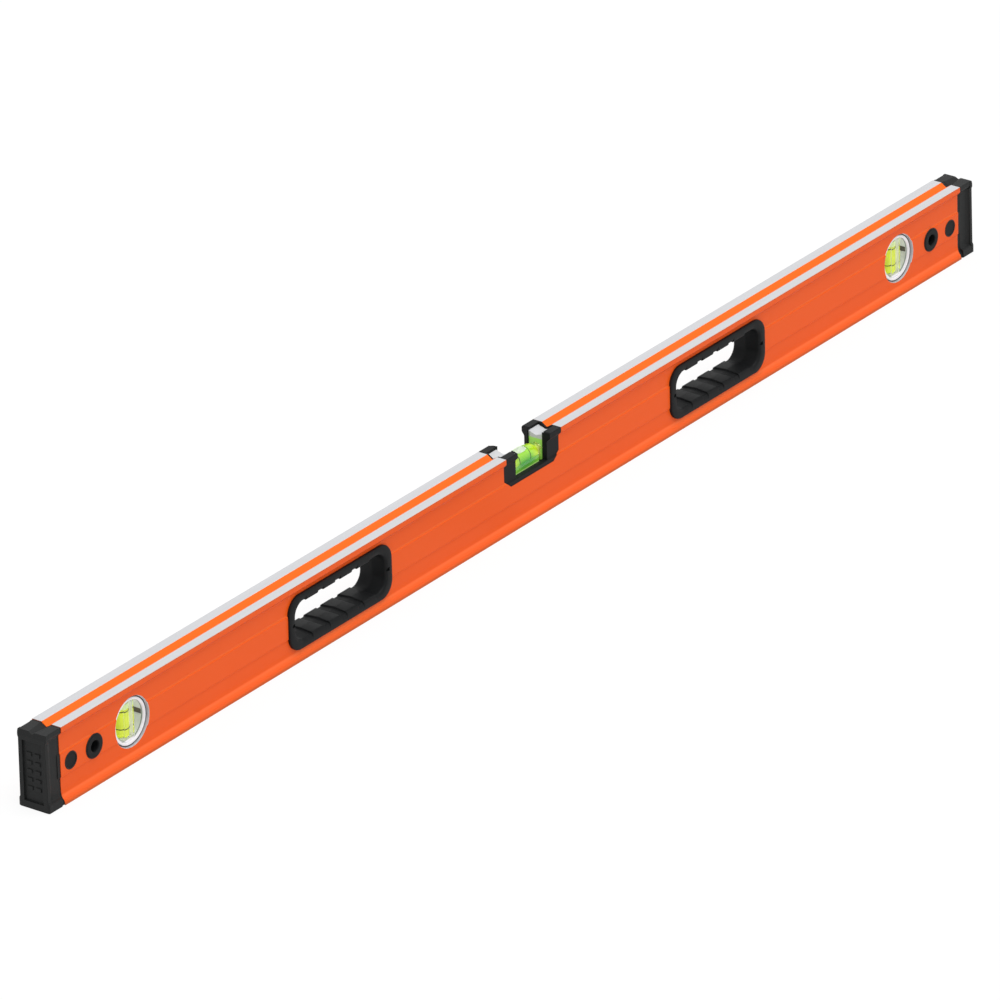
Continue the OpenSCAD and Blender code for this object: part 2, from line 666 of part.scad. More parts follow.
module centre_vial_plug() {
    intersection() {
        crown_tube(vial_x);
        translate([vial_x - vial_plug, -20, 0]) cube([vial_plug, 40, 80]);
    }
}

module centre_vial_plug_left() { color(lime) mirror([1, 0, 0]) centre_vial_plug(); }
module centre_vial_plug_right() { color(lime) centre_vial_plug(); }

module bubble_space() {
    translate([-bubble_l / 2, -20, crown_z + tube_r + vial_bore - bubble_h]) cube([bubble_l, 40, 20]);
}

module centre_rings() {
    color(black) for (s = [-1, 1])
        crown_arc(s * ring_gap / 2 - line_w / 2, s * ring_gap / 2 + line_w / 2) difference() {
            circle(vial_bore);
            circle(vial_bore - line_t);
        }
}

module centre_liquid() {
    color(leaf) difference() {
        crown_tube(vial_x - vial_plug);
        bubble_space();
        centre_rings();
    }
}

module centre_bubble() {
    color(air) intersection() {
        crown_tube(vial_x - vial_plug);
        bubble_space();
    }
}

beam();
left_end_cap();
right_end_cap();
left_cap_pin();
right_cap_pin();
left_grommet();
right_grommet();
left_grommet_ring();
right_grommet_ring();
left_grip_front();
left_grip_rear();
right_grip_front();
right_grip_rear();
left_plumb_housing_front();
left_plumb_housing_rear();
left_plumb_block();
left_plumb_liquid();
left_plumb_bubble();
left_plumb_lines();
left_plumb_plug();
right_plumb_housing_front();
right_plumb_housing_rear();
right_plumb_block();
right_plumb_liquid();
right_plumb_bubble();
right_plumb_lines();
right_plumb_plug();
centre_frame_front();
centre_frame_rear();
centre_mount_left();
centre_mount_right();
centre_vial();
centre_vial_plug_left();
centre_vial_plug_right();
centre_liquid();
centre_bubble();
centre_rings();
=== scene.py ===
"""Box beam level: finishes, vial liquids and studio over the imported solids.

Everything is in metres in the solids' own frame: +X along the level, +Z up from the
milled base, and the read face towards -Y. The classes follow the sub-assemblies of
the real tool, and each one dresses its solids and builds what they leave out.
"""

import logging
import math
from dataclasses import dataclass
from enum import Enum
from typing import Any

import bmesh
import bpy
from mathutils import Euler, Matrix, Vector

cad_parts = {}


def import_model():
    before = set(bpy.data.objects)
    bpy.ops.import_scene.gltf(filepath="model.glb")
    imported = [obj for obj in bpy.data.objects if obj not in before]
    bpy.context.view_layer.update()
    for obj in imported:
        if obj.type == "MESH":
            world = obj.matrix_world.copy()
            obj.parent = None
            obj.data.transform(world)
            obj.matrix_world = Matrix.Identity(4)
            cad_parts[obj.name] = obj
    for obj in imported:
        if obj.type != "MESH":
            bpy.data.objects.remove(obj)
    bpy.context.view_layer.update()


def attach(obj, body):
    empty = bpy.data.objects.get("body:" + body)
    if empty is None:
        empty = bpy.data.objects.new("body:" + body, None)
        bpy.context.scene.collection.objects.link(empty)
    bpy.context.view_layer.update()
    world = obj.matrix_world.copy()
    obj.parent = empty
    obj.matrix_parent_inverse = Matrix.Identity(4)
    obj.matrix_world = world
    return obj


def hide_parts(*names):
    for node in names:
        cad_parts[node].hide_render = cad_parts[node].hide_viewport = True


LOG = logging.getLogger("box_beam_level")
BODY = "root"
MM = 0.001
MERGE = 0.001 * MM

Tree = bpy.types.NodeTree
Socket = bpy.types.NodeSocket
Material = bpy.types.Material
Mesh = bpy.types.Mesh
Corner = tuple[float, float, float]
Pair = tuple[float, float]


class End(Enum):
    """The two ends of the level, by the side of the middle that they lie on."""

    LEFT = -1
    RIGHT = 1

    @property
    def word(self) -> str:
        """The end's word in node names."""
        return self.name.lower()


class Face(Enum):
    """The two long faces of the level."""

    FRONT = -1
    REAR = 1

    @property
    def word(self) -> str:
        """The face's word in node names."""
        return self.name.lower()


class Axis(Enum):
    """The way that the axis of a pair of rings lies, by its turn from the upright."""

    UPRIGHT = (0.0, 0.0, 0.0)
    ALONG = (0.0, math.pi / 2, 0.0)
    ACROSS = (math.pi / 2, 0.0, 0.0)


def linear(code: str) -> tuple[float, float, float, float]:
    """Turns an sRGB hex colour to linear values.

    Args:
        code: Colour as "#rrggbb".

    Returns:
        Red, green, blue and an alpha of 1, linear.
    """
    parts = [int(code[i : i + 2], 16) / 255 for i in (1, 3, 5)]
    return (*[c / 12.92 if c <= 0.04045 else ((c + 0.055) / 1.055) ** 2.4 for c in parts], 1.0)


def add(tree: Tree, kind: str, feeds: dict[Any, Any] | None = None, **settings: Any) -> bpy.types.Node:
    """Adds a node with its settings, and sets or links its inputs.

    Args:
        tree: The material's or geometry's node tree.
        kind: The node's type name.
        feeds: Input name or number to a value, or to the socket that feeds it.
        settings: The node's own properties.

    Returns:
        The new node.
    """
    made = tree.nodes.new(kind)
    for key, value in settings.items():
        setattr(made, key, value)
    for key, value in (feeds or {}).items():
        if isinstance(value, Socket):
            tree.links.new(value, made.inputs[key])
        else:
            made.inputs[key].default_value = value
    return made


def calc(tree: Tree, operation: str, *values: Any) -> Socket:
    """Adds one step of arithmetic on numbers or sockets, and gives its result."""
    return add(tree, "ShaderNodeMath", dict(enumerate(values)), operation=operation).outputs[0]


def remap(
    tree: Tree, value: Any, low: float = 0.0, high: float = 1.0, first: float = 0.0, last: float = 1.0
) -> Socket:
    """Maps a value from low to high onto first to last, held at both ends."""
    return add(tree, "ShaderNodeMapRange", {0: value, 1: low, 2: high, 3: first, 4: last}).outputs[0]


def mix(tree: Tree, share: Any, first: Any, second: Any) -> Socket:
    """Mixes two linear colours by the share of the second."""
    return add(tree, "ShaderNodeMix", {0: share, 6: first, 7: second}, data_type="RGBA").outputs[2]


def noise(tree: Tree, place: Any, scale: float, detail: float = 2.0) -> Socket:
    """Adds a soft random pattern, the same in each run, with so many waves in a metre."""
    return add(tree, "ShaderNodeTexNoise", {"Vector": place, "Scale": scale, "Detail": detail}).outputs["Fac"]


def relief(tree: Tree, height: Any, strength: float, depth: float, **more: Any) -> Socket:
    """Turns a pattern to a normal with a fine relief, on the normal given or the surface's own."""
    return add(tree, "ShaderNodeBump", {"Height": height, "Strength": strength, "Distance": depth, **more}).outputs[0]


def blank_material(name: str) -> tuple[Material, Tree]:
    """Makes an empty node material.

    Args:
        name: The material's name.

    Returns:
        The material and its tree.
    """
    material = bpy.data.materials.new(name)
    material.use_nodes = True
    material.node_tree.nodes.clear()
    return material, material.node_tree


def position(tree: Tree) -> tuple[Socket, Any]:
    """Adds the place on a piece in the level's frame, and its three axes."""
    place = add(tree, "ShaderNodeTexCoord").outputs["Object"]
    return place, add(tree, "ShaderNodeSeparateXYZ", {0: place}).outputs


def surface(tree: Tree, feeds: dict[str, Any]) -> None:
    """Adds a material's surface with its inputs, and the output."""
    skin = add(tree, "ShaderNodeBsdfPrincipled", feeds)
    add(tree, "ShaderNodeOutputMaterial", {"Surface": skin.outputs[0]})


@dataclass(frozen=True)
class PowderCoat:
    """Polyester powder coat baked on the extrusion, with the working faces milled bare afterwards."""

    name: str = "powder_coated_extrusion"
    coat: str = "#ea5808"
    coat_deep: str = "#e75506"
    coat_rough: Pair = (0.42, 0.52)
    cloud: float = 9.0
    # painted light on the V groove
    groove_highlight: str = "#f26a0c"
    groove_y: float = 5.2 * MM
    groove_z: float = 58.0 * MM
    # painted highlight on the ramp above the foot: its colour, share and extent
    foot: str = "#f76c31"
    foot_share: float = 0.3
    foot_rise: Pair = (4.0 * MM, 6.2 * MM)
    foot_fall: Pair = (6.9 * MM, 8.3 * MM)
    foot_arris: Pair = (1.3 * MM, 2.9 * MM)
    # lower end, upper end, feather and colour of each strip of painted shade along the arrises and creases, and of
    # painted highlight on the band's chamfer
    shade_and_highlight_strips: tuple[tuple[float, float, float, str], ...] = (
        (-1.0 * MM, 1.3 * MM, 1.6 * MM, "#c15723"),
        (41.5 * MM, 42.7 * MM, 0.3 * MM, "#ee6420"),
        (56.7 * MM, 57.4 * MM, 0.3 * MM, "#d94c00"),
        (58.8 * MM, 59.5 * MM, 0.3 * MM, "#d94c00"),
        (63.4 * MM, 65.0 * MM, 0.4 * MM, "#d05a1c"),
    )
    # orange peel 1.4 mm across, drawn coarser than the real 0.6 mm so that it shows
    peel: float = 700.0
    bare: str = "#d7d7da"
    bare_deep: str = "#cacbcd"
    bare_rough: Pair = (0.34, 0.48)
    # cutter marks on the bare faces, which run along the beam about 0.5 mm apart
    marks: Corner = (12.0, 1900.0, 1900.0)
    relief: float = 0.08
    relief_depth: float = 0.3 * MM
    metallic: float = 0.85
    hole_metallic: float = 0.15
    specular: float = 0.2
    rail_z: float = 63.93 * MM
    base_z: float = 0.06 * MM
    hole_x: float = 505.1 * MM
    hole_z: float = 32.1 * MM
    hole_r: float = 20.56 * MM

    def worked(self, tree: Tree, axes: Any) -> tuple[Socket, Socket]:
        """Marks the milled rails and base, and the raw edge of each round opening.

        Args:
            tree: The material's tree.
            axes: The sockets of the place's three axes.

        Returns:
            The mask of all bare faces, and that of the openings' edges.
        """
        top = calc(tree, "GREATER_THAN", axes["Z"], self.rail_z)
        base = calc(tree, "LESS_THAN", axes["Z"], self.base_z)
        across = calc(tree, "SUBTRACT", calc(tree, "ABSOLUTE", axes["X"]), self.hole_x)
        rise = calc(tree, "SUBTRACT", axes["Z"], self.hole_z)
        offset = add(tree, "ShaderNodeCombineXYZ", {"X": across, "Z": rise}).outputs[0]
        reach = add(tree, "ShaderNodeVectorMath", {0: offset}, operation="LENGTH").outputs["Value"]
        hole = calc(tree, "LESS_THAN", reach, self.hole_r)
        return calc(tree, "MAXIMUM", calc(tree, "MAXIMUM", top, base), hole), hole

    def powder(self, tree: Tree, place: Any, axes: Any) -> Socket:
        """Colours the coat, with painted shade and highlight along the edges and creases of the section, and painted
        light on the V groove and on the ramp above the foot.

        Args:
            tree: The material's tree.
            place: The place's socket.
            axes: The sockets of its three axes.

        Returns:
            The colour's socket.
        """
        coat = mix(tree, noise(tree, place, self.cloud, 3.0), linear(self.coat_deep), linear(self.coat))
        # painted shade and highlight, strip by strip
        for low, high, feather, tone in self.shade_and_highlight_strips:
            over = remap(tree, axes["Z"], low - feather, low)
            under = remap(tree, axes["Z"], high, high + feather, 1.0, 0.0)
            coat = mix(tree, calc(tree, "MULTIPLY", over, under), coat, linear(tone))
        # painted light: the V groove, which faces up, is coloured lighter and more yellow
        near = calc(tree, "LESS_THAN", calc(tree, "ABSOLUTE", axes["Y"]), self.groove_y)
        high = calc(tree, "GREATER_THAN", axes["Z"], self.groove_z)
        coat = mix(tree, calc(tree, "MULTIPLY", near, high), coat, linear(self.groove_highlight))
        # painted highlight on the ramp above the foot, fading out towards the lower arris
        up = remap(tree, axes["Z"], *self.foot_rise, self.foot_share, 1.0)
        down = remap(tree, axes["Z"], *self.foot_fall, 1.0, 0.0)
        arris = remap(tree, axes["Z"], *self.foot_arris)
        ramp_highlight = calc(tree, "MULTIPLY", calc(tree, "MULTIPLY", up, down), arris)
        return mix(tree, ramp_highlight, coat, linear(self.foot))

    def build(self) -> Material:
        """Builds the coat, the bare milled faces and the punched hole edges in one shader.

        Returns:
            The material.
        """
        material, tree = blank_material(self.name)
        place, axes = position(tree)
        mask, hole = self.worked(tree, axes)
        marks_at = add(tree, "ShaderNodeMapping", {"Vector": place, "Scale": self.marks}).outputs[0]
        marks = noise(tree, marks_at, 1.0, 3.0)
        peel = noise(tree, place, self.peel)
        bare = mix(tree, marks, linear(self.bare_deep), linear(self.bare))
        rough_coat = remap(tree, peel, 0.0, 1.0, *self.coat_rough)
        rough_bare = remap(tree, marks, 0.0, 1.0, *self.bare_rough)
        metal = calc(tree, "MULTIPLY_ADD", hole, self.hole_metallic - self.metallic, self.metallic)
        skin = add(tree, "ShaderNodeMix", {0: mask, 2: peel, 3: marks}).outputs[0]
        surface(
            tree,
            {
                "Base Color": mix(tree, mask, self.powder(tree, place, axes), bare),
                "Roughness": add(tree, "ShaderNodeMix", {0: mask, 2: rough_coat, 3: rough_bare}).outputs[0],
                "Metallic": calc(tree, "MULTIPLY", mask, metal),
                "Normal": relief(tree, skin, self.relief, self.relief_depth),
                "Specular IOR Level": self.specular,
            },
        )
        return material


@dataclass(frozen=True)
class Moulding:
    """An injection-moulded piece with the fine spark-eroded grain of its tool."""

    name: str
    colour: str
    worn: str
    roughness: float = 0.48
    specular: float = 0.4
    grain: float = 900.0
    depth: float = 0.12
    edge: float = 0.5 * MM
    # change of the roughness over the grain
    rough: Pair = (-0.06, 0.08)
    flow: float = 45.0
    grain_depth: float = 0.2 * MM

    def build(self) -> Material:
        """Builds the grain, faint flow clouds and softened moulded edges.

        Returns:
            The material.
        """
        material, tree = blank_material(self.name)
        place, _ = position(tree)
        grain = noise(tree, place, self.grain)
        soft = add(tree, "ShaderNodeBevel", {"Radius": self.edge}, samples=6).outputs[0]
        surface(
            tree,
            {
                "Base Color": mix(tree, noise(tree, place, self.flow, 3.0), linear(self.colour), linear(self.worn)),
                "Roughness": remap(tree, grain, 0.0, 1.0, *[self.roughness + change for change in self.rough]),
                "Normal": relief(tree, grain, self.depth, self.grain_depth, Normal=soft),
                "Specular IOR Level": self.specular,
            },
        )
        return material


@dataclass(frozen=True)
class ClearCast:
    """Clear cast acrylic, polished on its faces, with the faint cloud of a machined bore."""

    name: str = "clear_cast_acrylic"
    tint: str = "#f4faf4"
    ior: float = 1.49
    roughness: float = 0.02
    cloudy: float = 0.05
    cloud: float = 120.0

    def build(self) -> Material:
        """Builds the clear acrylic.

        Returns:
            The material.
        """
        material, tree = blank_material(self.name)
        place, _ = position(tree)
        haze = noise(tree, place, self.cloud)
        surface(
            tree,
            {
                "Base Color": linear(self.tint),
                "Roughness": remap(tree, haze, first=self.roughness, last=self.roughness + self.cloudy),
                "IOR": self.ior,
                "Transmission Weight": 1.0,
            },
        )
        return material


@dataclass(frozen=True)
class FrostedCast:
    """Acrylic with ground faces, which scatter the daylight; the dyed vial's green light in its lower half is painted
    on as colour and glow.
    """

    name: str = "ground_cast_acrylic"
    pale: str = "#d2d3d6"
    shade: str = "#c6c7ca"
    # grinding marks, about 0.8 mm apart so that they show
    grit: float = 1200.0
    relief: float = 0.1
    relief_depth: float = 0.2 * MM
    roughness: float = 0.42
    clear: float = 0.05
    glow: str = "#9ad45a"
    glow_z: float = 56.9 * MM
    glow_x: float = 25.0 * MM
    blend: float = 0.5 * MM
    strength: float = 0.22

    def build(self) -> Material:
        """Builds the ground acrylic with the painted green glow of the vial next to it.

        Returns:
            The material.
        """
        material, tree = blank_material(self.name)
        place, axes = position(tree)
        grit = noise(tree, place, self.grit)
        ground = mix(tree, grit, linear(self.shade), linear(self.pale))
        # painted light: the lower part near the vial is coloured green and glows
        close = calc(tree, "LESS_THAN", calc(tree, "ABSOLUTE", axes["X"]), self.glow_x)
        low = remap(tree, axes["Z"], self.glow_z + self.blend, self.glow_z - self.blend)
        lit = calc(tree, "MULTIPLY", close, low)
        surface(
            tree,
            {
                "Base Color": mix(tree, lit, ground, linear(self.glow)),
                "Roughness": self.roughness,
                "Normal": relief(tree, grit, self.relief, self.relief_depth),
                "Emission Color": mix(tree, lit, linear("#000000"), linear(self.glow)),
                "Emission Strength": self.strength,
                "Transmission Weight": self.clear,
            },
        )
        return material


@dataclass(frozen=True)
class DyedLiquid:
    """Mineral spirit with a fluorescent dye, which glows a little where daylight falls on it."""

    name: str
    colour: str
    deep: str
    ends: str
    low_z: float
    high_z: float
    end_from: float = 6.0 * MM
    end_to: float = 14.0 * MM
    # painted highlight: a paler band under foot_z
    foot: str = "#c4e88c"
    foot_z: float = 0.0
    clear: float = 0.3
    glow: float = 0.3
    ior: float = 1.44
    roughness: float = 0.05

    def build(self) -> Material:
        """Builds the liquid, deeper in colour towards the bottom and brighter towards the ends, both as painted shade
        and light, with a painted pale highlight band under foot_z.

        Returns:
            The material.
        """
        material, tree = blank_material(self.name)
        _, axes = position(tree)
        # painted shade and light: deeper towards low_z and brighter towards the ends
        level = remap(tree, axes["Z"], self.low_z, self.high_z)
        colour = mix(tree, level, linear(self.deep), linear(self.colour))
        reach = remap(tree, calc(tree, "ABSOLUTE", axes["X"]), self.end_from, self.end_to)
        colour = mix(tree, reach, colour, linear(self.ends))
        base = calc(tree, "LESS_THAN", axes["Z"], self.foot_z)
        colour = mix(tree, base, colour, linear(self.foot))
        surface(
            tree,
            {
                "Base Color": colour,
                "Roughness": self.roughness,
                "Emission Color": colour,
                "Emission Strength": self.glow,
                "IOR": self.ior,
                "Transmission Weight": self.clear,
            },
        )
        return material


@dataclass(frozen=True)
class Plain:
    """Printed ink, trapped air, or a flat colour of painted shadow or glow: a thin, even layer with a little grain."""

    name: str
    colour: str
    roughness: float = 0.4
    clear: float = 0.0
    ior: float = 1.45
    glow: float = 0.0
    grain: float = 600.0
    uneven: float = 0.05

    def build(self) -> Material:
        """Builds the even layer, which may pass on a little of the light behind it.

        Returns:
            The material.
        """
        material, tree = blank_material(self.name)
        place, _ = position(tree)
        grain = noise(tree, place, self.grain)
        surface(
            tree,
            {
                "Base Color": linear(self.colour),
                "Roughness": remap(tree, grain, first=self.roughness, last=self.roughness + self.uneven),
                "IOR": self.ior,
                "Transmission Weight": self.clear,
                "Emission Color": linear(self.colour),
                "Emission Strength": self.glow,
            },
        )
        return material


class Finishes:
    """Builds each finish once and hands it to the pieces that share it."""

    def __init__(self) -> None:
        """Builds every material of the level."""
        # polyester powder on the aluminium extrusion, milled bare on its working faces
        self.coat = PowderCoat().build()
        # black ABS of the grips, grommets, pins and window frames
        self.black = Moulding("black_abs_moulding", "#161718", "#1b1c1d", specular=0.1).build()
        # black rubber of the end caps, and of the dark rings of painted shadow round the plumb housings
        self.rubber = Moulding(
            "black_rubber_moulding", "#1c1d1d", "#212222", 0.5, 0.16, grain=700.0, depth=0.14, edge=0.4 * MM
        ).build()
        # white ABS of the plumb housings, and a copy for the part inside the lip with the dyed vial's green light and
        # the shade there painted in
        self.white = Moulding("white_abs_moulding", "#eeeef2", "#f4f4f7", 0.36, 0.5, depth=0.04, edge=0.4 * MM).build()
        self.white_painted_dye_light = Moulding(
            "white_abs_lit_by_dye", "#e2e9da", "#e9efe2", 0.36, 0.5, depth=0.04, edge=0.4 * MM
        ).build()
        # white ABS of the ribs beside the plumb blocks, with a painted glow
        self.rib = Plain("white_abs_rib_painted_glow", "#eeecf4", glow=0.22).build()
        # painted shadow: the dark line where the lip steps back
        self.seam = Plain("mould_step_shadow", "#7f8d7f").build()
        # cast acrylic: polished vial, polished plumb block and ground mounts, the mounts with the vial's green light
        # painted on
        self.clear = ClearCast().build()
        self.block = ClearCast("clear_cast_vial_block", ior=1.34).build()
        self.frosted = FrostedCast().build()
        # mineral spirit with green or yellow dye, and under the centre vial a saddle whose colour and glow paint the
        # liquid's green light in the vial's clear foot
        self.centre_liquid = DyedLiquid(
            "dyed_spirit_centre", "#aee83c", "#2ab21e", "#d8ee34", low_z=45.5 * MM, high_z=52.5 * MM
        ).build()
        self.cradle = DyedLiquid(
            "dyed_acrylic_cradle", "#3fa83a", "#79bd45", "#8fcf44", low_z=41.2 * MM, high_z=46 * MM,
            foot_z=42.0 * MM, clear=0.1, glow=0.22,
        ).build()
        self.plumb_liquid = DyedLiquid(
            "dyed_spirit_plumb", "#dfe83c", "#dce63a", "#dfe83c", low_z=20 * MM, high_z=44 * MM
        ).build()
        # air over the liquids
        self.air = Plain("air_in_vial", "#f8faf0", 0.12, 0.1, 1.3).build()
        # the plumb vials' air is tinted and given a painted glow
        self.plumb_air = Plain("air_in_plumb_vial", "#e4f4b4", 0.12, 0.1, 1.3, glow=0.25).build()
        # bright moulded plugs at the ends of the centre vial
        self.plug = Moulding("bright_vial_plug", "#f4f58a", "#eef070", 0.35, 0.5, depth=0.03, edge=0.2 * MM).build()
        # black ink of the read lines
        self.ink = Plain("printed_line_ink", "#10120a").build()
        # painted shadow: black rings in the joints round the pins and grommets
        self.gap = Plain("painted_joint_shadow", "#0b0c0c", 0.6, 0.7).build()
        # grey foam in the slots of the plumb housings
        self.felt = Moulding(
            "grey_foam_pad", "#6a665a", "#605d52", 0.7, 0.2, grain=500.0, depth=0.3, edge=0.3 * MM
        ).build()


def dress(node: str, material: Material) -> None:
    """Gives a solid of the frame its finish.

    Args:
        node: The node's name.
        material: The finish.
    """
    piece = bpy.data.objects[node]
    piece.data.materials.clear()
    piece.data.materials.append(material)
    for face in piece.data.polygons:
        face.material_index = 0
    LOG.info("dressed %s in %s", node, material.name)


def linked(name: str, data: bpy.types.ID) -> bpy.types.Object:
    """Adds an object to the scene, at the origin.

    Args:
        name: The object's name.
        data: Its mesh, light or camera.

    Returns:
        The new object.
    """
    made = bpy.data.objects.new(name, data)
    bpy.context.scene.collection.objects.link(made)
    return made


def opened(node: str) -> bmesh.types.BMesh:
    """Copies a solid's mesh for editing, with its doubled corners joined.

    Args:
        node: The solid's node.

    Returns:
        The mesh, open for editing.
    """
    work = bmesh.new()
    work.from_mesh(bpy.data.objects[node].data)
    bmesh.ops.remove_doubles(work, verts=work.verts, dist=MERGE)
    return work


def closed(work: bmesh.types.BMesh, name: str) -> Mesh:
    """Ends the editing of a mesh.

    Args:
        work: The mesh that is open for editing.
        name: The name it gets.

    Returns:
        The finished mesh.
    """
    mesh = bpy.data.meshes.new(name)
    work.to_mesh(mesh)
    work.free()
    return mesh


def skinned(name: str, sections: list[list[Corner]]) -> Mesh:
    """Joins the sections of a long form and closes its ends.

    Args:
        name: The mesh's name.
        sections: The corners of each section, in order along the form.

    Returns:
        A closed mesh.
    """
    work = bmesh.new()
    rows = [[work.verts.new(corner) for corner in section] for section in sections]
    for first, second in zip(rows, rows[1:]):
        for j in range(len(first)):
            k = (j + 1) % len(first)
            work.faces.new((first[j], first[k], second[k], second[j]))
    work.faces.new(rows[0])
    work.faces.new(rows[-1])
    return closed(work, name)


def middle_of(node: str) -> tuple[Vector, Vector]:
    """Finds the middle of a solid's box, and the box's lowest corner."""
    corners = [Vector(corner) for corner in bpy.data.objects[node].bound_box]
    return sum(corners, Vector()) / len(corners), corners[0]


def make_piece(mesh: Mesh, material: Material, slot: str, *nodes: str, smooth: float = 35.0) -> None:
    """Makes a piece of a mesh, rides it on the level's body and hides the solids that it replaces.

    Args:
        mesh: The mesh, placed in the level's frame, which gives the piece its name.
        material: Its finish.
        slot: Not used.
        nodes: Solids that it replaces.
        smooth: Angle in degrees above which an edge stays sharp.
    """
    work = bmesh.new()
    work.from_mesh(mesh)
    bmesh.ops.remove_doubles(work, verts=work.verts, dist=MERGE)
    bmesh.ops.recalc_face_normals(work, faces=work.faces)
    for edge in work.edges:
        edge.smooth = len(edge.link_faces) == 2 and edge.calc_face_angle(0.0) < math.radians(smooth)
    for face in work.faces:
        face.smooth = True
    work.to_mesh(mesh)
    work.free()
    mesh.materials.clear()
    mesh.materials.append(material)
    piece = linked(mesh.name, mesh)
    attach(piece, BODY)
    if nodes:
        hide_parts(*nodes)
    LOG.info("built %s with %d faces", piece.name, len(mesh.polygons))


def grown(name: str, tree: Tree, values: dict[str, Any]) -> Mesh:
    """Runs a geometry tree with the given input values and keeps its plain mesh.

    Args:
        name: The mesh's name.
        tree: The geometry node tree.
        values: Input name to value.

    Returns:
        The finished mesh.
    """
    seed = linked(name + "_seed", bpy.data.meshes.new(name + "_seed"))
    modifier = seed.modifiers.new("grow", "NODES")
    modifier.node_group = tree
    for item in tree.interface.items_tree:
        if item.item_type == "SOCKET" and item.in_out == "INPUT" and item.name in values:
            modifier[item.identifier] = values[item.name]
    depsgraph = bpy.context.evaluated_depsgraph_get()
    mesh = bpy.data.meshes.new_from_object(seed.evaluated_get(depsgraph))
    mesh.name = name
    seed.modifiers.clear()
    bpy.data.objects.remove(seed)
    return mesh


def ring_pair_tree() -> Tree:
    """Builds the tree that lays two rings on an axis, such as the read lines of a vial.

    Returns:
        A tree with the inputs Radius, Line, Spacing, Turn, Centre and Ink.
    """
    tree = bpy.data.node_groups.new("read_lines", "GeometryNodeTree")
    for label, kind in (
        ("Radius", "NodeSocketFloat"),
        ("Line", "NodeSocketFloat"),
        ("Spacing", "NodeSocketFloat"),
        ("Turn", "NodeSocketVector"),
        ("Centre", "NodeSocketVector"),
        ("Ink", "NodeSocketMaterial"),
    ):
        tree.interface.new_socket(label, in_out="INPUT", socket_type=kind)
    tree.interface.new_socket("Geometry", in_out="OUTPUT", socket_type="NodeSocketGeometry")
    given = add(tree, "NodeGroupInput").outputs
    ring = add(tree, "GeometryNodeCurvePrimitiveCircle", {"Resolution": 64, "Radius": given["Radius"]}).outputs[0]
    wire = add(tree, "GeometryNodeCurvePrimitiveCircle", {"Resolution": 8, "Radius": given["Line"]}).outputs[0]
    band = add(tree, "GeometryNodeCurveToMesh", {"Curve": ring, "Profile Curve": wire}).outputs[0]
    first = add(tree, "ShaderNodeCombineXYZ", {"Z": calc(tree, "MULTIPLY", given["Spacing"], -0.5)}).outputs[0]
    step = add(tree, "ShaderNodeCombineXYZ", {"Z": given["Spacing"]}).outputs[0]
    line = add(
        tree, "GeometryNodeMeshLine", {"Count": 2, "Start Location": first, "Offset": step}
    ).outputs[0]
    copies = add(tree, "GeometryNodeInstanceOnPoints", {"Points": line, "Instance": band}).outputs[0]
    real = add(tree, "GeometryNodeRealizeInstances", {0: copies}).outputs[0]
    placed = add(
        tree, "GeometryNodeTransform", {"Geometry": real, "Translation": given["Centre"], "Rotation": given["Turn"]}
    ).outputs[0]
    inked = add(tree, "GeometryNodeSetMaterial", {"Geometry": placed, "Material": given["Ink"]}).outputs[0]
    add(tree, "NodeGroupOutput", {0: inked})
    return tree


@dataclass
class Assembly:
    """A sub-assembly with what it is built with: the level's materials, and the tree that lays two rings."""

    finishes: Finishes
    lines: Tree

    def rings(
        self, name: str, size: Corner, centre: Corner, axis: Axis, material: Material, slot: str, *nodes: str
    ) -> None:
        """Builds two thin rings on one axis, such as the read lines of a vial.

        Args:
            name: The piece's name.
            size: Radius of the rings, half of their thickness, and the distance between them.
            centre: The point midway between them.
            axis: The way that their axis lies.
            material: Their finish.
            slot: Passed on to make_piece, which does not use it.
            nodes: Solids that they replace.
        """
        radius, line, gap = size
        values = {"Radius": radius, "Line": line, "Spacing": gap, "Turn": axis.value}
        mesh = grown(name, self.lines, {**values, "Centre": centre, "Ink": material})
        make_piece(mesh, material, slot, *nodes)

    def seal(self, node: str, radius: float, line: float, sunk: float) -> None:
        """Lays a thin dark ring of painted shadow in the joint round a round insert, on both faces of the beam.

        Args:
            node: The insert's node, which gives the middle and the width.
            radius: Radius of the ring.
            line: Half of the ring's thickness.
            sunk: Depth of the ring below the insert's front end.
        """
        middle, low = middle_of(node)
        size = (radius, line, 2 * (-low.y - sunk))
        self.rings(f"{node}_seals", size, (middle.x, 0.0, middle.z), Axis.ACROSS, self.finishes.gap, "rubber")


@dataclass
class Beam(Assembly):
    """The hollow aluminium beam."""

    node: str = "beam"

    def build(self) -> None:
        """Coats the beam and leaves its milled faces bare."""
        dress(self.node, self.finishes.coat)


@dataclass
class EndCap(Assembly):
    """A rubber bumper cap, with the locking pin that holds it in the beam."""

    end: End
    pin_r: float = 6.75 * MM
    line: float = 0.6 * MM
    sunk: float = 0.1 * MM

    def build(self) -> None:
        """Dresses the cap and its pin, and lays a ring of painted shadow in the joint round the pin."""
        dress(f"{self.end.word}_end_cap", self.finishes.rubber)
        dress(f"{self.end.word}_cap_pin", self.finishes.black)
        self.seal(f"{self.end.word}_cap_pin", self.pin_r, self.line, self.sunk)


@dataclass
class HangHole(Assembly):
    """The lipped grommet of a hang hole and the ring on its rear end."""

    end: End
    lip_r: float = 9.5 * MM
    line: float = 0.5 * MM
    sunk: float = 0.9 * MM

    def build(self) -> None:
        """Dresses the grommet and its ring, and lays a ring of painted shadow in their joint with the beam."""
        dress(f"{self.end.word}_grommet", self.finishes.black)
        dress(f"{self.end.word}_grommet_ring", self.finishes.black)
        self.seal(f"{self.end.word}_grommet", self.lip_r, self.line, self.sunk)


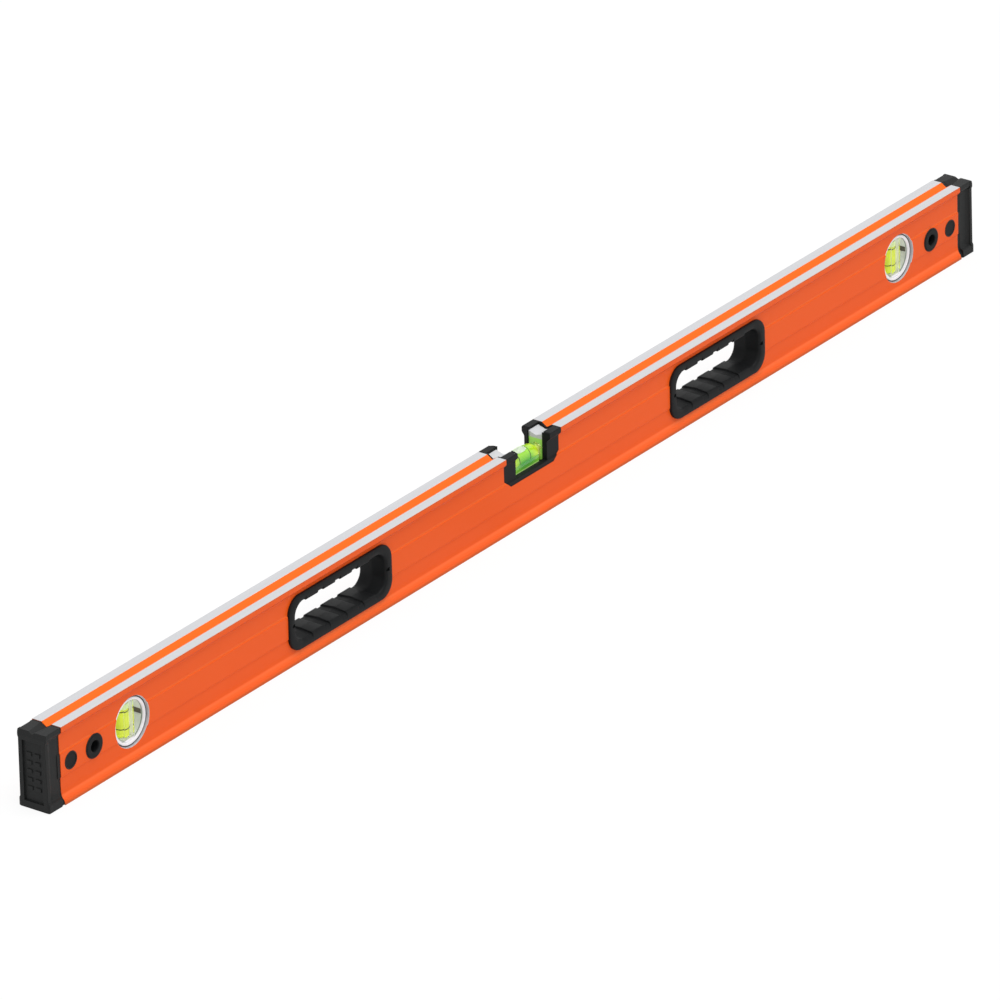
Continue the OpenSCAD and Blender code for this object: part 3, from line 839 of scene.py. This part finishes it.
@dataclass
class HandGrip(Assembly):
    """The two moulded halves that line a hand hole.

    The rim is a rounded rectangle. What lies inside it by more than the held margin is
    drawn towards the middle, little by little over the eased width.
    """

    end: End
    rim: Pair = (64.75 * MM, 22.95 * MM)
    corner: float = 14.0 * MM
    draw: Pair = (0.9 * MM, 2.3 * MM)
    full: Pair = (20.0 * MM, 8.0 * MM)
    hold: float = 0.8 * MM
    ease: float = 4.2 * MM

    def half(self, face: Face) -> None:
        """Copies a half with its throat drawn in to the opening that the hand hole shows.

        Args:
            face: The half's side of the level.
        """
        node = f"{self.end.word}_grip_{face.word}"
        middle, _ = middle_of(node)
        work = opened(node)
        for vert in work.verts:
            dx, dz = vert.co.x - middle.x, vert.co.z - middle.z
            past_x, past_z = abs(dx) - self.rim[0] + self.corner, abs(dz) - self.rim[1] + self.corner
            inside = self.corner - math.hypot(max(past_x, 0.0), max(past_z, 0.0)) - min(max(past_x, past_z), 0.0)
            share = min(1.0, max(0.0, (inside - self.hold) / self.ease))
            # a soft start and a soft end
            share *= share * (3.0 - 2.0 * share)
            vert.co.x -= math.copysign(self.draw[0] * share * min(1.0, abs(dx) / self.full[0]), dx)
            vert.co.z -= math.copysign(self.draw[1] * share * min(1.0, abs(dz) / self.full[1]), dz)
        make_piece(closed(work, f"{node}_throat"), self.finishes.black, "black_plastic", node)

    def build(self) -> None:
        """Builds both halves."""
        for face in Face:
            self.half(face)


@dataclass
class PlumbVial(Assembly):
    """A round plumb vial: white housing, clear block, dyed liquid, bubble and read lines."""

    end: End
    x: float = 505.1 * MM
    z: float = 32.1 * MM
    bore: float = 4.7 * MM
    fill: float = 27.5 * MM
    overlap: float = 0.03 * MM
    bubble: float = 6.0 * MM
    # climb of the liquid at its wall, as a share of the bore, and the air's distance from it
    climb: float = 0.3
    rise: float = 0.04 * MM
    foot_bevel: float = 0.3 * MM
    top_bevel: float = 0.5 * MM
    read_gap: float = 14.4 * MM
    read_proud: float = 0.1 * MM
    line: float = 0.4 * MM
    block: Corner = (5.9 * MM, 8.35 * MM, 19.0 * MM)
    # the raised ring of the housing, past this depth and between these radii
    ring_y: float = 8.89 * MM
    ring: Pair = (18.9 * MM, 20.1 * MM)
    ring_set: float = 0.65 * MM
    # the wall of the round opening, which gets the painted step shadow, and the radius under which the inside gets
    # painted green light and shade
    opening: Pair = (16.5 * MM, 16.85 * MM)
    inner_r: float = 17.9 * MM
    lip_y: float = 6.85 * MM
    step: float = 0.9 * MM
    rib: Corner = (0.7 * MM, 6.4 * MM, 17.0 * MM)
    rib_sunk: float = 0.05 * MM
    rib_past: float = 0.2 * MM
    rib_ease: float = 0.15 * MM
    foot: float = 4.7 * MM
    foot_ease: float = 0.3 * MM
    # painted shadow: dark rings in the gap round the housing
    shadow_ring_r: float = 19.5 * MM
    shadow_ring_line: float = 0.5 * MM
    shadow_ring_gap: float = 17.9 * MM
    slot: Corner = (18.0 * MM, 5.6 * MM, 2.15 * MM)
    pad: float = 1.2 * MM
    pad_ease: float = 0.2 * MM

    def centre(self) -> Vector:
        """The middle of the vial."""
        return Vector((self.end.value * self.x, 0.0, self.z))

    def lathe(self, name: str, outline: list[Pair], steps: int = 64) -> Mesh:
        """Turns an outline about the vial's upright axis.

        Args:
            name: The mesh's name.
            outline: Radius and height from the vial's middle, from the bottom to the top.
            steps: Number of facets round the axis.

        Returns:
            A closed mesh, placed at the vial.
        """
        work = bmesh.new()
        rows = []
        for radius, height in outline:
            # a corner on the axis is a single point
            turns = [math.tau * i / steps for i in range(steps if radius else 1)]
            ring = [Vector((radius * math.cos(a), radius * math.sin(a), height)) for a in turns]
            rows.append([work.verts.new(self.centre() + arm) for arm in ring])
        for low, high in zip(rows, rows[1:]):
            for i in range(steps):
                j = (i + 1) % steps
                corners = [low[i % len(low)], low[j % len(low)], high[j % len(high)], high[i % len(high)]]
                work.faces.new(list(dict.fromkeys(corners)))
        return closed(work, name)

    def housing(self, face: Face) -> None:
        """Copies a housing half with its ring drawn in, a painted shadow at the step inside its lip, and painted green
        light and shade on the wall inside the lip.

        Args:
            face: The half's side of the level.
        """
        node = f"{self.end.word}_plumb_housing_{face.word}"
        middle = self.centre()
        work = opened(node)
        for vert in work.verts:
            arm = Vector((vert.co.x - middle.x, 0.0, vert.co.z - middle.z))
            if abs(vert.co.y) > self.ring_y and self.ring[0] < arm.length < self.ring[1]:
                vert.co -= arm.normalized() * self.ring_set
        cut = face.value * (self.lip_y + self.step)
        every = work.verts[:] + work.edges[:] + work.faces[:]
        bmesh.ops.bisect_plane(work, geom=every, plane_co=(0.0, cut, 0.0), plane_no=(0.0, 1.0, 0.0))
        for facet in work.faces:
            spot = facet.calc_center_median() - middle
            reach = math.hypot(spot.x, spot.z)
            # faces at the step get the painted shadow, and those inside the lip the painted green light and shade
            if self.opening[0] < reach < self.opening[1] and abs(spot.y) < abs(cut):
                facet.material_index = 1
            elif reach < self.inner_r and abs(spot.y) < self.lip_y:
                facet.material_index = 2
        mesh = closed(work, f"{self.end.word}_plumb_ring_{face.word}")
        chosen = [polygon.material_index for polygon in mesh.polygons]
        make_piece(mesh, self.finishes.white, "white_plastic", node)
        mesh.materials.append(self.finishes.seam)
        mesh.materials.append(self.finishes.white_painted_dye_light)
        for polygon, index in zip(mesh.polygons, chosen):
            polygon.material_index = index

    def box(
        self, part: str, first: Corner, second: Corner, ease: float, material: Material, slot: str, *nodes: str
    ) -> None:
        """Builds a small moulded block with eased edges.

        Args:
            part: The block's word in its name.
            first: A corner, from the vial's middle.
            second: The opposite corner.
            ease: Width of the eased edges.
            material: Its finish.
            slot: Passed on to make_piece, which does not use it.
            nodes: Solids that it replaces.
        """
        low = Vector([min(pair) for pair in zip(first, second)]) + self.centre()
        high = Vector([max(pair) for pair in zip(first, second)]) + self.centre()
        work = bmesh.new()
        bmesh.ops.create_cube(work, size=1.0)
        for vert in work.verts:
            vert.co = Vector([low[i] + (vert.co[i] + 0.5) * (high[i] - low[i]) for i in range(3)])
        bmesh.ops.bevel(work, geom=list(work.edges), offset=ease, segments=2, affect="EDGES", profile=0.5)
        make_piece(closed(work, f"{self.end.word}_plumb_{part}"), material, slot, *nodes)

    def post(self, face: Face) -> None:
        """Builds the rib of a housing half that stands against the clear block, in white with a painted glow.

        Both halves come from one mould, so each has its rib on its own right-hand side.

        Args:
            face: The half's side of the level.
        """
        side = -face.value
        wide, deep, high = self.rib
        near = (side * (self.block[0] - self.rib_sunk), face.value * deep, -high)
        far = (side * (self.block[0] + wide), -face.value * self.rib_past, high)
        self.box(f"post_{face.word}", near, far, self.rib_ease, self.finishes.rib, "white_plastic")

    def pads(self) -> None:
        """Builds the foam pads that close the slots in the sides of the housing."""
        near, deep, high = self.slot
        for side in End:
            low, top = (side.value * near, -deep, -high), (side.value * (near + self.pad), deep, high)
            self.box(f"pad_{side.word}", low, top, self.pad_ease, self.finishes.felt, "black_plastic")

    def seat(self) -> None:
        """Builds the white foot that closes the bore and carries the clear block."""
        wide, deep, high = self.block[0] + self.overlap, self.block[1] + self.overlap, self.block[2]
        low, top = (-wide, -deep, -high), (wide, deep, -high + self.foot)
        plug = f"{self.end.word}_plumb_plug"
        self.box("foot", low, top, self.foot_ease, self.finishes.white, "white_plastic", plug)

    def fluids(self) -> None:
        """Builds the liquid, and the air that stands over it at the top of the upright vial."""
        word = self.end.word
        r, h = self.bore + self.overlap, self.fill / 2 + self.overlap
        arc = [math.pi / 2 * i / 8 for i in range(9)]
        sag = [(r * math.sin(a), h - self.bubble + self.climb * r * (1 - math.cos(a))) for a in arc]
        foot = [(0, -h), (r - self.foot_bevel, -h), (r, -h + self.foot_bevel)]
        liquid = self.lathe(f"{word}_plumb_spirit", foot + sag[::-1])
        make_piece(liquid, self.finishes.plumb_liquid, "vial_liquid", f"{word}_plumb_liquid")
        top = [(r, h - self.top_bevel), (r - self.top_bevel, h), (0, h)]
        air = self.lathe(f"{word}_plumb_air", [(x, z + self.rise) for x, z in sag] + top, 48)
        make_piece(air, self.finishes.plumb_air, "air", f"{word}_plumb_bubble")

    def build(self) -> None:
        """Dresses the vial's solids and builds its liquid, bubble and read lines."""
        word = self.end.word
        for face in Face:
            self.housing(face)
            self.post(face)
        dress(f"{word}_plumb_block", self.finishes.block)
        self.seat()
        self.pads()
        middle = tuple(self.centre())
        # painted shadow: dark rubber rings in the gap round the housing
        size = (self.shadow_ring_r, self.shadow_ring_line, self.shadow_ring_gap)
        self.rings(f"{word}_plumb_seals", size, middle, Axis.ACROSS, self.finishes.rubber, "rubber")
        self.fluids()
        size = (self.bore + self.read_proud, self.line, self.read_gap)
        lines = f"{word}_plumb_lines"
        self.rings(f"{word}_plumb_marks", size, middle, Axis.UPRIGHT, self.finishes.ink, "line_ink", lines)


@dataclass
class CentreVial(Assembly):
    """The top-read centre window: black frames, clear mounts and the crowned vial."""

    crown: float = 50.0 * MM
    crown_z: float = -0.3 * MM
    bore: float = 5.0 * MM
    overlap: float = 0.03 * MM
    half: float = 15.4 * MM
    bubble: float = 11.8 * MM
    bubble_x: float = -0.9 * MM
    bubble_proud: float = 0.08 * MM
    bubble_deep: float = 1.9 * MM
    # half the angle that the bubble takes of the bore, and the powers that round its ends and its belly
    bubble_angle: float = 36.0
    bubble_ends: float = 0.55
    bubble_belly: int = 3
    ring_gap: float = 13.8 * MM
    ring_x: float = -1.2 * MM
    ring_proud: float = 0.05 * MM
    line: float = 0.35 * MM
    reach: float = 20.6 * MM
    plug_from: float = 15.6 * MM
    jamb_from: float = 21.2 * MM
    jamb_to: float = 24.6 * MM
    jamb_low: float = 40.95 * MM
    jamb_set: float = 1.6 * MM
    jamb_smooth: float = 25.0
    cradle_low: float = 41.05 * MM
    cradle_y: float = 6.75 * MM
    cradle_rim: float = 46.2 * MM
    cradle_gap: float = 0.06 * MM
    # the chamfer of the saddle's rim across and up, and the height over the rim at which it meets the bore
    cradle_bevel: Pair = (0.4 * MM, 0.5 * MM)
    cradle_meet: float = 0.6 * MM

    def along(self, x: float) -> float:
        """The height of the tube's axis at a distance along the level."""
        return self.crown_z + math.sqrt(self.crown**2 - x**2)

    def spirit(self) -> None:
        """Builds the liquid, a round section swept along the crown."""
        sections = []
        steps, turns = 48, 32
        r = self.bore + self.overlap
        for i in range(steps + 1):
            tilt = math.asin((2 * i / steps - 1) * (self.half + self.overlap) / self.crown)
            section = []
            for j in range(turns):
                a = math.tau * j / turns
                arm = self.crown + r * math.cos(a)
                section.append((arm * math.sin(tilt), r * math.sin(a), self.crown_z + arm * math.cos(tilt)))
            sections.append(section)
        make_piece(skinned("centre_spirit", sections), self.finishes.centre_liquid, "vial_liquid", "centre_liquid")

    def air(self) -> None:
        """Builds the bubble, which fills the top of the tube and rounds off at its ends."""
        sections = []
        steps, turns = 40, 28
        r = self.bore + self.bubble_proud
        for i in range(1, steps):
            t = -math.pi / 2 + math.pi * i / steps
            x = self.bubble_x + self.bubble / 2 * math.sin(t)
            axis = self.along(x)
            size = math.cos(t) ** self.bubble_ends
            spread = math.radians(self.bubble_angle) * size
            arc = [-spread + 2 * spread * j / turns for j in range(turns + 1)]
            section = [(x, r * math.sin(a), axis + r * math.cos(a)) for a in arc]
            _, edge_y, edge_z = section[-1]
            low = axis + r - self.bubble_deep * size
            for j in range(1, turns):
                s = 1 - 2 * j / turns
                section.append((x, edge_y * s, low + (edge_z - low) * abs(s) ** self.bubble_belly))
            sections.append(section)
        make_piece(skinned("centre_air", sections), self.finishes.air, "air", "centre_bubble")

    def frame(self, face: Face) -> None:
        """Copies a frame half with its jambs drawn in to the window's visible length.

        Args:
            face: The half's side of the level.
        """
        node = f"centre_frame_{face.word}"
        work = opened(node)
        for vert in work.verts:
            if self.jamb_from < abs(vert.co.x) < self.jamb_to and vert.co.z > self.jamb_low:
                vert.co.x -= math.copysign(self.jamb_set, vert.co.x)
        mesh = closed(work, f"centre_window_{face.word}")
        make_piece(mesh, self.finishes.black, "black_plastic", node, smooth=self.jamb_smooth)

    def barrel(self, node: str, start: float, material: Material, slot: str) -> None:
        """Copies a solid of the vial with its ends drawn out to the mounts.

        Args:
            node: The solid.
            start: Distance from the middle beyond which it is drawn out.
            material: Its finish.
            slot: Passed on to make_piece, which does not use it.
        """
        work = opened(node)
        end = max(abs(vert.co.x) for vert in work.verts)
        for vert in work.verts:
            if abs(vert.co.x) > start:
                share = (abs(vert.co.x) - start) / (end - start)
                vert.co.x += math.copysign((self.reach - end) * share, vert.co.x)
        make_piece(closed(work, f"{node}_full"), material, slot, node)

    def saddle(self) -> None:
        """Builds the saddle that fills the foot of the clear vial under its bore, its colour and glow painting the
        liquid's green light there.
        """
        sections = []
        steps, turns = 36, 14
        low, wide, rim = self.cradle_low, self.cradle_y, self.cradle_rim
        slope, bevel = wide - self.cradle_bevel[0], rim + self.cradle_bevel[1]
        r = self.bore + self.cradle_gap
        for i in range(steps + 1):
            x = -self.half + 2 * self.half * i / steps
            axis = self.along(x)
            start = math.asin((rim + self.cradle_meet - axis) / r)
            arc = [start + (-math.pi - 2 * start) * j / turns for j in range(turns + 1)]
            section = [(x, wide, low), (x, wide, rim), (x, slope, bevel)]
            section += [(x, r * math.cos(a), axis + r * math.sin(a)) for a in arc]
            section += [(x, -slope, bevel), (x, -wide, rim), (x, -wide, low)]
            sections.append(section)
        make_piece(skinned("centre_cradle", sections), self.finishes.cradle, "vial_liquid")

    def build(self) -> None:
        """Dresses the window's solids and builds the liquid, the bubble and the read rings."""
        for face in Face:
            self.frame(face)
        for end in End:
            dress(f"centre_mount_{end.word}", self.finishes.frosted)
            self.barrel(f"centre_vial_plug_{end.word}", self.plug_from, self.finishes.plug, "bright_plug")
        self.barrel("centre_vial", self.half, self.finishes.clear, "clear_acrylic")
        self.spirit()
        self.saddle()
        self.air()
        middle = (self.ring_x, 0.0, self.along(self.ring_gap / 2))
        size = (self.bore + self.ring_proud, self.line, self.ring_gap)
        self.rings("centre_read_rings", size, middle, Axis.ALONG, self.finishes.ink, "line_ink", "centre_rings")


@dataclass
class Studio:
    """White sweep, soft daylight and the long lens of the product shot."""

    eye: Corner = (-5.97941, -4.47374, 3.54183)
    turn: Corner = (64.69492, 1.39952, -53.73161)
    lens: float = 381.517
    sensor: float = 36.0
    clip: Pair = (0.1, 60.0)
    sky: float = 0.58
    key: float = 2.1
    key_angle: float = 45.0
    key_from: Corner = (0.05, -0.22, 0.97)
    floor_z: float = -0.05 * MM
    floor_reach: float = 6.0
    paper: str = "#f7f7f7"
    paper_glow: float = 0.88

    def seen_white(self, tree: Tree) -> Socket:
        """One for camera, glossy and transmission rays, and nothing for the light on the level.

        Args:
            tree: The material's or world's tree.

        Returns:
            The mask's socket.
        """
        path = add(tree, "ShaderNodeLightPath").outputs
        shiny = calc(tree, "MAXIMUM", path["Is Camera Ray"], path["Is Glossy Ray"])
        return calc(tree, "MAXIMUM", shiny, path["Is Transmission Ray"])

    def light(self) -> None:
        """Builds the world and the key light."""
        world = bpy.data.worlds.new("studio_white")
        bpy.context.scene.world = world
        world.use_nodes = True
        tree = world.node_tree
        tree.nodes.clear()
        strength = remap(tree, self.seen_white(tree), first=self.sky)
        sky = add(tree, "ShaderNodeBackground", {"Color": linear("#ffffff"), "Strength": strength}).outputs[0]
        add(tree, "ShaderNodeOutputWorld", {"Surface": sky})
        lamp = bpy.data.lights.new("soft_key", "SUN")
        lamp.energy = self.key
        lamp.angle = math.radians(self.key_angle)
        key = linked("soft_key", lamp)
        key.rotation_euler = Vector(self.key_from).to_track_quat("Z", "Y").to_euler()

    def floor(self) -> None:
        """Lays the white floor, which keeps a faint shadow of the level."""
        material, tree = blank_material("white_paper_sweep")
        share = calc(tree, "MULTIPLY", self.seen_white(tree), self.paper_glow)
        paper = add(tree, "ShaderNodeBsdfDiffuse", {"Color": linear(self.paper)}).outputs[0]
        glow = add(tree, "ShaderNodeEmission", {"Color": linear("#ffffff"), "Strength": 1.0}).outputs[0]
        mixed = add(tree, "ShaderNodeMixShader", {0: share, 1: paper, 2: glow}).outputs[0]
        # the sweep is open from below, so that the sole can be looked at
        below = add(tree, "ShaderNodeNewGeometry").outputs["Backfacing"]
        clear = add(tree, "ShaderNodeBsdfTransparent").outputs[0]
        sided = add(tree, "ShaderNodeMixShader", {0: below, 1: mixed, 2: clear}).outputs[0]
        add(tree, "ShaderNodeOutputMaterial", {"Surface": sided})
        far = self.floor_reach
        work = bmesh.new()
        corners = ((-far, -far), (far, -far), (far, far), (-far, far))
        work.faces.new([work.verts.new((x, y, self.floor_z)) for x, y in corners])
        mesh = closed(work, "floor")
        mesh.materials.append(material)
        floor = linked("floor", mesh)

    def camera(self) -> None:
        """Sets the camera at the photograph's viewing angle."""
        data = bpy.data.cameras.new("product_lens")
        data.lens = self.lens
        data.sensor_width = self.sensor
        data.sensor_fit = "HORIZONTAL"
        data.clip_start, data.clip_end = self.clip
        camera = linked("product_lens", data)
        camera.location = self.eye
        camera.rotation_euler = Euler([math.radians(v) for v in self.turn], "XYZ")
        bpy.context.scene.camera = camera

    def build(self) -> None:
        """Builds the whole studio."""
        self.light()
        self.floor()
        self.camera()
        bpy.context.scene.view_settings.view_transform = "Standard"


def main() -> None:
    """Builds the studio and every sub-assembly."""
    logging.basicConfig(level=logging.INFO, format="%(name)s: %(message)s")
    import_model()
    Studio().build()
    finishes = Finishes()
    lines = ring_pair_tree()
    Beam(finishes, lines).build()
    for end in End:
        for kind in (EndCap, HangHole, HandGrip, PlumbVial):
            kind(finishes, lines, end).build()
    CentreVial(finishes, lines).build()
    bpy.context.view_layer.update()


if __name__ == "__main__":
    main()
